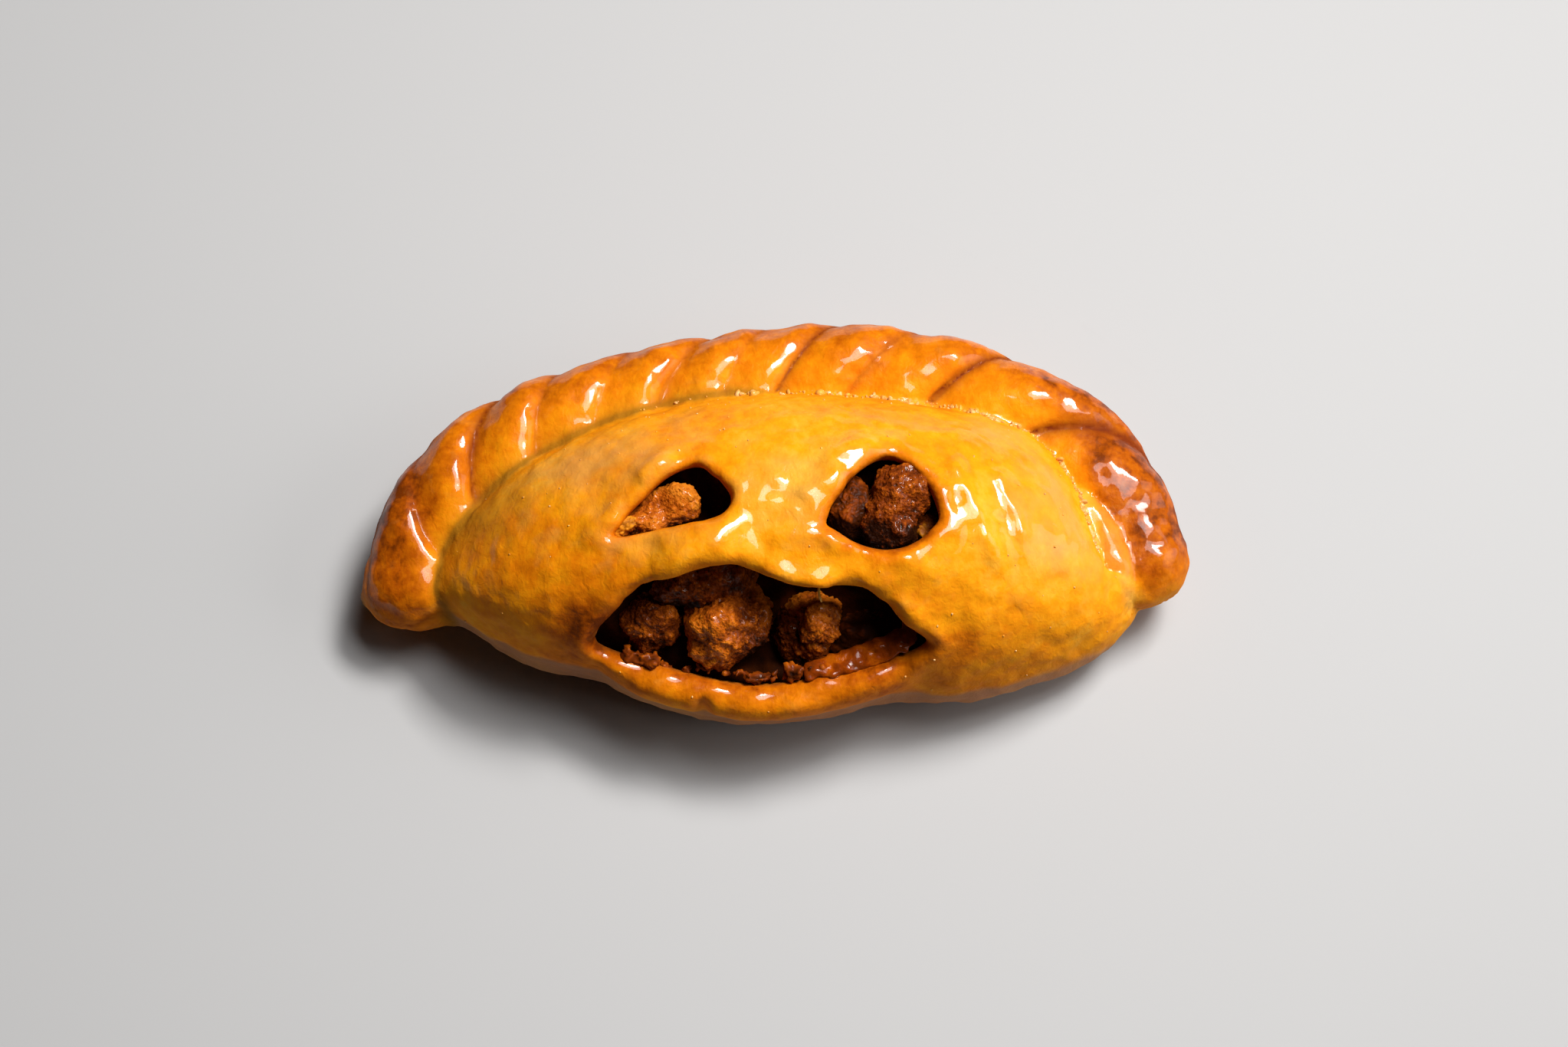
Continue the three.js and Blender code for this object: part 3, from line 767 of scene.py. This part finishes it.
gravy_places, gravy_faces = skin(gravy_distance, GRAVY_LOW, GRAVY_HIGH, GRAVY_STEP)
gravy_places = settle(gravy_places, gravy_distance, 2, 0.3)
shown = np.zeros(len(gravy_places))
for opening in openings.values():
    depth = np.linalg.norm(opening.local(gravy_places) / (opening.hollow * 1.15), axis=1)
    shown = np.maximum(shown, rise(depth, 1.05, 0.925))
gravy_lump = bumps(gravy_places, GRAVY_LUMPS) * shown
gravy_places = gravy_places + gravy_lump[:, None] * unit(slope(gravy_distance, gravy_places))
gravy = add_piece("gravy", gravy_places, gravy_faces)

# The gravy's darkest parts are painted near black, as painted shade in the hollows under the openings.
GRAVY_SHADE_BLACK, GRAVY_BROWN, OIL_RED = (0.012, 0.003, 0.001), (0.04, 0.008, 0.001), (0.13, 0.022, 0.002)


def paint_gravy(w):
    return {
        "Base Color": w.grain(3, 4).ramp([(0.3, GRAVY_SHADE_BLACK), (0.55, GRAVY_BROWN), (0.8, OIL_RED)]),
        "Roughness": 0.4 + 0.3 * w.grain(2, 2),
        "Normal": w.grain(1.2, 4).bump(0.6, 0.3),
    }


gravy.data.materials.append(new_material("gravy", paint_gravy, {"Specular IOR Level": 0.02}))
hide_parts("filling")
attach(gravy, "root")


# The meat: dice about a centimetre across, browned before they went into the curry, so their faces are craggy
# and their corners charred. They sit in the gravy, and show through the openings.

# Each die's opening, its middle across, up and below it, its half sizes, its turn and how brown it is.
MEAT = [
    ("mouth", (-4.8, -2.4, 9.4), (6.0, 5.6, 5.8), (10, 8, 24), -0.06),
    ("mouth", (-8.8, 3.6, 11.0), (7, 5, 5), (0, 0, -8), 0.1),
    ("mouth", (8.2, -2.5, 9.9), (3.7, 3.5, 4.4), (-8, 12, -14), -0.12),
    ("mouth", (6.6, -5.4, 12.2), (4.4, 4.2, 4.6), (8, 0, 20), 0.16),
    ("mouth", (-16.4, -2.6, 11.4), (4.4, 4.6, 5), (14, -6, 24), 0.06),
    ("left_eye", (-2.9, -2.0, 7.0), (6.8, 3.4, 4.2), (4, 0, 22), -0.2),
    ("right_eye", (2.5, -0.2, 7.2), (4.5, 7.2, 4.9), (0, 4, -14), 0.16),
]
DIE_SQUARENESS = 2.7
# The lobes and the grains of a die's faces: a height, a size across and what is added to the die's seed.
LOBES = [(2.0, 5.5, 0), (1.0, 2.4, 1)]
GRAINS, GRAINS_SUNK = [(0.6, 1.4, 2), (0.55, 0.7, 3), (0.2, 0.42, 4)], 0.3
LOBES_PALE, GRAINS_PALE, LOWER_SIDE_CHAR_AND_SHADE = 0.1, 0.4, 0.8
MEAT_CRAGS, MEAT_SEED = 0.8, 40


def turned(p, turn):
    """Places turned about Z, then Y, then X, in degrees."""
    for axis in (2, 1, 0):
        one, two = (axis + 1) % 3, (axis + 2) % 3
        cosine, sine = np.cos(np.radians(turn[axis])), np.sin(np.radians(turn[axis]))
        before, p = p, p.copy()
        p[:, one] = before[:, one] * cosine - before[:, two] * sine
        p[:, two] = before[:, one] * sine + before[:, two] * cosine
    return p


def die(opening, at, half, turn, brown, crags, seed):
    """One craggy die under an opening: its places, triangles, and how pale each place is."""
    p, faces = ball(6)
    p = p * (np.abs(p) ** DIE_SQUARENESS).sum(1, keepdims=True) ** (-1 / DIE_SQUARENESS)
    out = unit(p)
    p = p * half
    below = -p[:, 1] / half[1]
    lobes = bumps(p, [(height, size, seed + more) for height, size, more in LOBES])
    grains = sum(height * np.abs(noise(p, size, seed + more)) for height, size, more in GRAINS) - GRAINS_SUNK
    # Each die is darker towards its lower side: char, and painted shade.
    pale = LOBES_PALE * lobes + GRAINS_PALE * grains - brown - LOWER_SIDE_CHAR_AND_SHADE * rise(below, 0.25, 1.25)
    across, up, down = at
    p = turned(p + (crags * (lobes + grains))[:, None] * out, turn) + np.array([across, up, -down])
    return openings[opening].world(p), faces, pale


def add_dice(name, dice, crags, seed):
    """One piece of several dice."""
    made = [die(*row, crags, seed + 10 * i) for i, row in enumerate(dice)]
    starts = np.cumsum([0] + [len(places) for places, _, _ in made])
    return add_piece(
        name,
        np.concatenate([places for places, _, _ in made]),
        np.concatenate([faces + start for (_, faces, _), start in zip(made, starts)]),
        {"pale": np.concatenate([pale for _, _, pale in made])})


meat = add_dice("meat_dice", MEAT, MEAT_CRAGS, MEAT_SEED)

CHAR, BROWNED = (0.018, 0.004, 0.001), (0.19, 0.032, 0.002)
ROAST, FAT = (0.50, 0.110, 0.004), (0.66, 0.20, 0.012)


def paint_meat(w):
    tone = 0.5 + w.attribute("pale") + 0.8 * (w.grain(3, 4) - 0.5) + 0.6 * (w.grain(0.6, 3) - 0.5)
    relief = w.grain(0.8, 4) + 0.9 * w.grain(0.35, 2)
    return {
        "Base Color": tone.ramp([(0.12, CHAR), (0.38, BROWNED), (0.66, ROAST), (0.95, FAT)]),
        "Roughness": 0.35 + 0.3 * w.grain(1.2, 2),
        "Normal": relief.bump(1.0, 0.35),
    }


meat.data.materials.append(new_material("browned_meat", paint_meat, {
    "Coat Weight": 0.22, "Coat Roughness": 0.04, "Specular IOR Level": 0.05}))
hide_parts("filling")
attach(meat, "root")


# The potato: dice fried with the spices, softer than the meat and stained yellow-brown. Two are in the right
# eye, a bit of one is in the left eye, and one has cooked down into the sauce at the mouth's right corner.

POTATO = [
    ("right_eye", (-4.4, -0.6, 7.6), (3.4, 4.2, 4.2), (0, -10, 16), 0.22),
    ("mouth", (15.6, -4.8, 12.8), (6, 3, 4.6), (0, 10, 12), 0.35),
    ("left_eye", (-6.9, -3.8, 4.2), (2.3, 1.1, 2.0), (0, 0, 32), -0.3),
    ("right_eye", (6.6, -3.6, 8.6), (2.2, 2.6, 3.0), (0, 0, 20), 0.0),
]
POTATO_CRAGS, POTATO_SEED = 0.6, 90
potato = add_dice("potato_dice", POTATO, POTATO_CRAGS, POTATO_SEED)

STAINED, OLIVE, CURRIED = (0.66, 0.24, 0.010), (0.26, 0.072, 0.004), (0.24, 0.042, 0.003)


def paint_potato(w):
    tone = 0.5 + w.attribute("pale") + 0.9 * (w.grain(3, 4) - 0.5)
    return {
        "Base Color": tone.ramp([(0.2, GRAVY_BROWN), (0.45, CURRIED), (0.6, OLIVE), (0.85, STAINED)]),
        "Roughness": 0.2 + 0.35 * w.grain(1.5, 2),
        "Normal": w.grain(0.8, 4).bump(0.6, 0.25),
    }


potato.data.materials.append(new_material("curried_potato", paint_potato, {"Specular IOR Level": 0.05}))
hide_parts("filling")
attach(potato, "root")


# The pulp: bits that broke off the dice and cooked down with onion. They lie on the gravy between the dice,
# along the inside of the mouth's lower lip, and heaped on a ledge at the lip's left end.

# Counts of bits, and where they lie across, up and out on the mouth's plane. The ledge slants down to the
# right and dips at its left end. The crumbs' second range is how far they are above the lower lip.
LEDGE_BITS, LEDGE = 70, [(-21, -10), (-8.7, -6.6), (-7.2, -5.4)]
LEDGE_SLANT, LEDGE_MIDDLE = 0.22, -16
LEDGE_DIP, LEDGE_DIP_AT, LEDGE_DIP_SPREAD = 1.5, -25, 7
GRAVY_BITS, GRAVY_BITS_BELOW = 110, 17
CRUMBS, CRUMBS_WHERE = 90, [(-10, 9.5), (0.2, 1.9), (-6.0, -3.8)]
LOWER_LIP = (-12.0, 0.0, 15.6, 24.0), (-8.8, -10.6, -8.0, -4.2)  # the outline's lower side, across and up
PULP_REACHES, PULP_STEP = (0.4, 0.85), 0.32
RUN_TOGETHER = 1.6  # how many drops' worth of nearness is the face of a mass
MASS_MARGIN = 3


def scattered(rng, ranges, count):
    return np.stack([rng.uniform(low, high, count) for low, high in ranges], 1)


def run_together(drops, reaches):
    """A distance to the outside of a mass in which drops of about those reaches run together."""
    def distance(p):
        near = np.full(len(p), 1e-9)
        for drop, reach in zip(drops, reaches):
            near += np.exp(-((p - drop) ** 2).sum(1) / reach ** 2)
        return -np.mean(reaches) * np.log(near / RUN_TOGETHER) / 2
    return distance


curry_rng = np.random.default_rng(8)
ledge = scattered(curry_rng, LEDGE, LEDGE_BITS)
ledge[:, 1] -= LEDGE_SLANT * (ledge[:, 0] - LEDGE_MIDDLE)
ledge[:, 2] -= LEDGE_DIP * hump(ledge[:, 0] - LEDGE_DIP_AT, LEDGE_DIP_SPREAD)
in_mouth = shown * (mouth.local(gravy_places)[:, 2] > -GRAVY_BITS_BELOW)
on_gravy = curry_rng.choice(len(gravy_places), GRAVY_BITS, False, in_mouth / in_mouth.sum())
crumbs = scattered(curry_rng, CRUMBS_WHERE, CRUMBS)
crumbs[:, 1] += np.interp(crumbs[:, 0], *LOWER_LIP)
bits = np.concatenate([mouth.world(ledge), mouth.world(crumbs), gravy_places[on_gravy]])
pulp_distance = run_together(bits, curry_rng.uniform(*PULP_REACHES, len(bits)))
pulp_low, pulp_high = bits.min(0) - MASS_MARGIN, bits.max(0) + MASS_MARGIN
pulp_places, pulp_faces = skin(pulp_distance, pulp_low, pulp_high, PULP_STEP)
pulp_out = unit(slope(pulp_distance, pulp_places))
pulp_crags = 0.6 * noise(pulp_places, 1.7, 31) + 0.9 * np.abs(noise(pulp_places, 0.8, 32)) - 0.2
pulp_places = pulp_places + pulp_crags[:, None] * pulp_out
pulp = add_piece("curry_pulp", pulp_places, pulp_faces, {"pale": 0.4 * pulp_crags})


def paint_pulp(w):
    tone = 0.4 + w.attribute("pale") + 0.8 * (w.grain(3, 3) - 0.5)
    return {
        "Base Color": tone.ramp([(0.2, CHAR), (0.45, BROWNED), (0.7, ROAST), (0.95, FAT)]),
        "Roughness": 0.3 + 0.3 * w.grain(1, 2),
        "Normal": w.grain(0.4, 3).bump(0.5, 0.12),
    }


pulp.data.materials.append(new_material("curry_pulp", paint_pulp, {
    "Coat Weight": 0.1, "Specular IOR Level": 0.05}))
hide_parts("filling")
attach(pulp, "root")


# The sauce: thin red-brown curry that boiled up against the inside of the mouth's lower lip, at its right,
# and set there as a glossy band that widens towards the corner.

SAUCE_DROPS, SAUCE_ACROSS = 460, (6.5, 23.0)
# How wide the band is on the mouth's plane, and from where and how fast it widens.
BAND_WIDTH, BAND_FROM, BAND_WIDENS = 1.6, 9, 0.17
# How deep it lies below that plane: at the lip, more round one place, more at its back edge, and at random.
BAND_DEPTH, BAND_BACK_DEPTH, BAND_UNEVEN = 3.9, 2.4, 0.3
BAND_DIP, BAND_DIP_AT, BAND_DIP_SPREAD = 1.4, 18.8, 7
SAUCE_REACHES, SAUCE_STEP = (0.3, 0.7), 0.28
SAUCE_RIPPLES = [(0.36, 2.2, 33), (0.14, 1.0, 34)]

across, back = curry_rng.uniform(*SAUCE_ACROSS, SAUCE_DROPS), curry_rng.uniform(0, 1, SAUCE_DROPS)
up = np.interp(across, *LOWER_LIP) + (BAND_WIDTH + BAND_WIDENS * (across - BAND_FROM)) * back
down = BAND_DEPTH + BAND_DIP * hump(across - BAND_DIP_AT, BAND_DIP_SPREAD) + BAND_BACK_DEPTH * back
down += curry_rng.uniform(-BAND_UNEVEN, BAND_UNEVEN, SAUCE_DROPS)
drops = mouth.world(np.stack([across, up, -down], 1))
sauce_distance = run_together(drops, curry_rng.uniform(*SAUCE_REACHES, SAUCE_DROPS))
sauce_low, sauce_high = drops.min(0) - MASS_MARGIN, drops.max(0) + MASS_MARGIN
sauce_places, sauce_faces = skin(sauce_distance, sauce_low, sauce_high, SAUCE_STEP)
sauce_out = unit(slope(sauce_distance, sauce_places))
sauce_places = sauce_places + bumps(sauce_places, SAUCE_RIPPLES)[:, None] * sauce_out
sauce = add_piece("sauce", sauce_places, sauce_faces)

SAUCE_RED, SAUCE_AMBER = (0.23, 0.034, 0.001), (0.50, 0.105, 0.002)


def paint_sauce(w):
    return {
        "Base Color": w.grain(3, 4, 0.5).ramp([(0.32, OIL_RED), (0.5, SAUCE_RED), (0.68, SAUCE_AMBER)]),
        "Roughness": 0.1 + 0.15 * w.grain(2, 2),
        "Normal": w.grain(0.6, 3).bump(0.7, 0.2),
    }


sauce.data.materials.append(new_material("sauce", paint_sauce, {
    "Coat Weight": 0.35, "Coat Roughness": 0.04, "Specular IOR Level": 0.1}))
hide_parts("filling")
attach(sauce, "root")


# The onion: one soft strand, yellow with curry, that hangs from under the upper lip onto a die of meat. Its
# line is given on the mouth's plane, as across, up and out.

ONION_HALF, ONION_SIDES, ONION_STEPS = 0.2, 8, 40
ONION_KNOTS = np.array([
    (10.2, 7.2, -5.4), (9.0, 6.4, -5.2), (8.4, 5.2, -5.0), (8.5, 3.8, -4.9), (8.9, 2.6, -5.2)])


def strand(line, half, sides):
    """A thin round strand along a line, tapered at both ends: its places and faces."""
    along = unit(np.gradient(line, axis=0))
    side = unit(np.cross(along, [0.3, 0.2, 0.9]))
    up = np.cross(side, along)
    around = np.arange(sides) / sides * 2 * np.pi
    width = half * np.sqrt(np.clip(1.02 - np.linspace(-1, 1, len(line)) ** 8, 0, 1))
    ring = side[:, None] * np.cos(around)[:, None] + up[:, None] * np.sin(around)[:, None]
    places = (line[:, None] + width[:, None, None] * ring).reshape(-1, 3)
    faces = [tuple(range(sides - 1, -1, -1)), tuple(range(len(places) - sides, len(places)))]
    for start in range(0, len(places) - sides, sides):
        for j in range(sides):
            k = (j + 1) % sides
            faces.append((start + j, start + k, start + sides + k, start + sides + j))
    return places, faces


knots = np.arange(len(ONION_KNOTS))
fine = np.linspace(0, knots[-1], ONION_STEPS)
onion_line = np.stack([np.interp(fine, knots, column) for column in ONION_KNOTS.T], 1)
for _ in range(12):
    onion_line[1:-1] = (onion_line[:-2] + 2 * onion_line[1:-1] + onion_line[2:]) / 4
onion = add_piece("onion_strand", *strand(mouth.world(onion_line), ONION_HALF, ONION_SIDES))

ONION_PALE, ONION_GOLD = (0.70, 0.36, 0.03), (0.56, 0.20, 0.006)


def paint_onion(w):
    colour = w.grain(1.2, 2).ramp([(0.35, ONION_GOLD), (0.65, ONION_PALE)])
    return {"Base Color": colour, "Roughness": 0.2 + 0.2 * w.grain(1, 2)}


onion.data.materials.append(new_material("onion", paint_onion, {"Coat Weight": 0.4}))
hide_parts("filling")
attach(onion, "root")


# The stage: a plain pale table top, a large soft light high at the back right with a smaller, brighter one
# beside it, a low fill light at the right, a weak sky, and a camera that looks down from the front.

TABLE_HALF, TABLE_GREY = 3.0, (0.465, 0.465, 0.47, 1)
table_mesh = bpy.data.meshes.new("table")
table_corners = [(i * TABLE_HALF, j * TABLE_HALF, 0) for i, j in ((-1, -1), (1, -1), (1, 1), (-1, 1))]
table_mesh.from_pydata(table_corners, [], [(0, 1, 2, 3)])
table = bpy.data.objects.new("table", table_mesh)
bpy.context.scene.collection.objects.link(table)
table_mesh.materials.append(new_material("table", lambda w: {}, {"Base Color": TABLE_GREY, "Roughness": 0.7}))

LIGHT_TARGET, LIGHT_SPREAD = (0, 0, 0.01), np.radians(80)


def aim(thing, target):
    """Turns a light or camera to look at a place."""
    thing.rotation_euler = (Vector(target) - thing.location).to_track_quat("-Z", "Y").to_euler()


def add_light(name, place, size, watts, colour):
    light = bpy.data.lights.new(name, "AREA")
    light.shape, light.size, light.size_y = "RECTANGLE", *size
    light.energy, light.color, light.spread = watts, colour, LIGHT_SPREAD
    lamp = bpy.data.objects.new(name, light)
    lamp.location = place
    bpy.context.scene.collection.objects.link(lamp)
    aim(lamp, LIGHT_TARGET)


add_light("softbox", (0.38, 0.30, 1.02), (0.56, 0.50), 1.75, (1.0, 0.99, 0.98))
add_light("window", (0.38, 0.36, 0.82), (0.32, 0.18), 1.6, (1.0, 0.98, 0.95))
add_light("fill", (0.82, 0.0, 0.42), (0.70, 0.60), 0.8, (1.0, 0.98, 0.96))
sky = bpy.data.worlds.new("sky")
sky.use_nodes = True
sky.node_tree.nodes["Background"].inputs["Color"].default_value = (0.95, 0.97, 1.0, 1)
sky.node_tree.nodes["Background"].inputs["Strength"].default_value = 0.006
bpy.context.scene.world = sky
bpy.context.scene.view_settings.view_transform = "Standard"

ELEVATION = np.radians(72)
LENS, SENSOR, IMAGE_WIDTH = 70.0, 36.0, 2046
PIXELS_PER_METRE = 8570.0
TARGET = PUFF_ORIGIN + np.array([0.00059, 0.00055, 0.010])
camera_distance = LENS / SENSOR * IMAGE_WIDTH / PIXELS_PER_METRE
camera = bpy.data.objects.new("camera", bpy.data.cameras.new("camera"))
camera.data.lens, camera.data.sensor_width = LENS, SENSOR
camera.location = TARGET + camera_distance * np.array([0, -np.cos(ELEVATION), np.sin(ELEVATION)])
bpy.context.scene.collection.objects.link(camera)
aim(camera, TARGET)
bpy.context.scene.camera = camera
